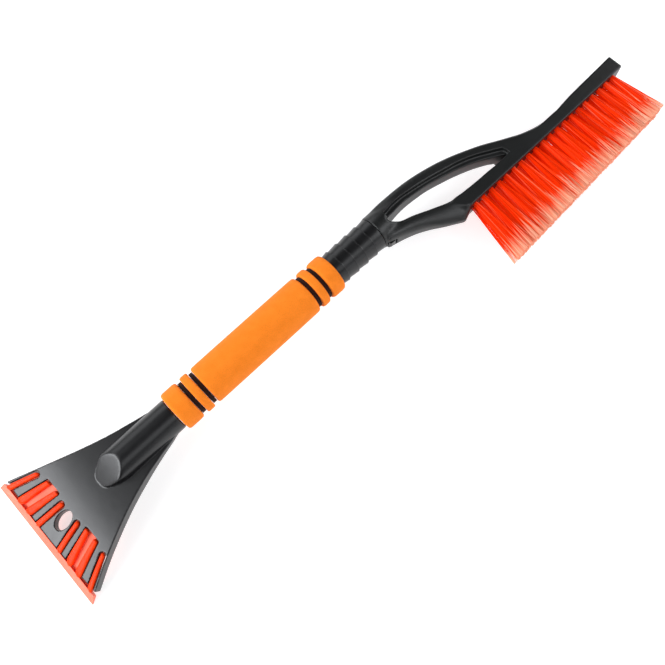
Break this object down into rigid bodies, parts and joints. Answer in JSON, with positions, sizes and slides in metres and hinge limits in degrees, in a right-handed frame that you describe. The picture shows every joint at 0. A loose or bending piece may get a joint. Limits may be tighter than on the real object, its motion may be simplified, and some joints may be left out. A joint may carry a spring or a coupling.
{
  "type": "windshield ice scraper with snow brush",
  "caption": "Long-handled car ice scraper with a ribbed translucent blade, a foam grip, and a pull-off snow brush on an open loop handle",
  "frame": {"origin": "bottom centre of the whole tool's box, with the tool lying on its back: the blade's edge is at the ground", "axes": "+X along the handle from the blade to the end of the brush, +Z out of the scraper plate's face, bristles towards -Y"},
  "size_m": [0.6726, 0.1706, 0.0529],
  "materials": {
    "black_plastic": "fine satin moulded ABS",
    "orange_polycarbonate": "clear-tinted moulded polycarbonate",
    "orange_foam": "closed-cell EVA foam with a fine matte skin",
    "black_foam": "matte closed-cell foam",
    "orange_bristle": "flagged synthetic bristle",
    "aluminium_tube": "drawn tube",
    "steel": "bright wire and screws"
  },
  "bodies": {
    "scraper_half": {"scraper_head": "black_plastic", "scraper_blade": "orange_polycarbonate", "handle_tube": "aluminium_tube", "locking_collar": "black_plastic", "shank_screw": "steel", "collar_screw": "steel", "foam_end_ring_lower": "orange_foam", "spacer_ring_1": "black_foam", "foam_small_ring_lower": "orange_foam", "spacer_ring_2": "black_foam", "foam_grip_body": "orange_foam", "spacer_ring_3": "black_foam", "foam_small_ring_upper": "orange_foam", "spacer_ring_4": "black_foam", "foam_end_ring_upper": "orange_foam"},
    "brush_half": {"brush_handle": "black_plastic", "button_spring": "steel", "tuft_01": "orange_bristle", "tuft_02": "orange_bristle", "tuft_03": "orange_bristle", "tuft_04": "orange_bristle", "tuft_05": "orange_bristle", "tuft_06": "orange_bristle", "tuft_07": "orange_bristle", "tuft_08": "orange_bristle", "tuft_09": "orange_bristle", "tuft_10": "orange_bristle", "tuft_11": "orange_bristle", "tuft_12": "orange_bristle", "tuft_13": "orange_bristle", "tuft_14": "orange_bristle", "tuft_15": "orange_bristle", "tuft_16": "orange_bristle", "tuft_17": "orange_bristle", "tuft_18": "orange_bristle", "tuft_19": "orange_bristle", "tuft_20": "orange_bristle", "tuft_anchor_01": "steel", "tuft_anchor_02": "steel", "tuft_anchor_03": "steel", "tuft_anchor_04": "steel", "tuft_anchor_05": "steel", "tuft_anchor_06": "steel", "tuft_anchor_07": "steel", "tuft_anchor_08": "steel", "tuft_anchor_09": "steel", "tuft_anchor_10": "steel", "tuft_anchor_11": "steel", "tuft_anchor_12": "steel", "tuft_anchor_13": "steel", "tuft_anchor_14": "steel", "tuft_anchor_15": "steel", "tuft_anchor_16": "steel", "tuft_anchor_17": "steel", "tuft_anchor_18": "steel", "tuft_anchor_19": "steel", "tuft_anchor_20": "steel"},
    "button": {"release_button": "black_plastic"}
  },
  "joints": [
    {"name": "brush_pull", "type": "slide", "parent": "scraper_half", "child": "brush_half", "axis": [1, 0, 0], "range_m": [0, 0.05]},
    {"name": "button_press", "type": "slide", "parent": "brush_half", "child": "button", "axis": [0, 1, 0], "range_m": [0, 0.003], "stiffness_N_per_m": 600, "springref_m": -0.002, "deforming": ["button_spring"]}
  ]
}
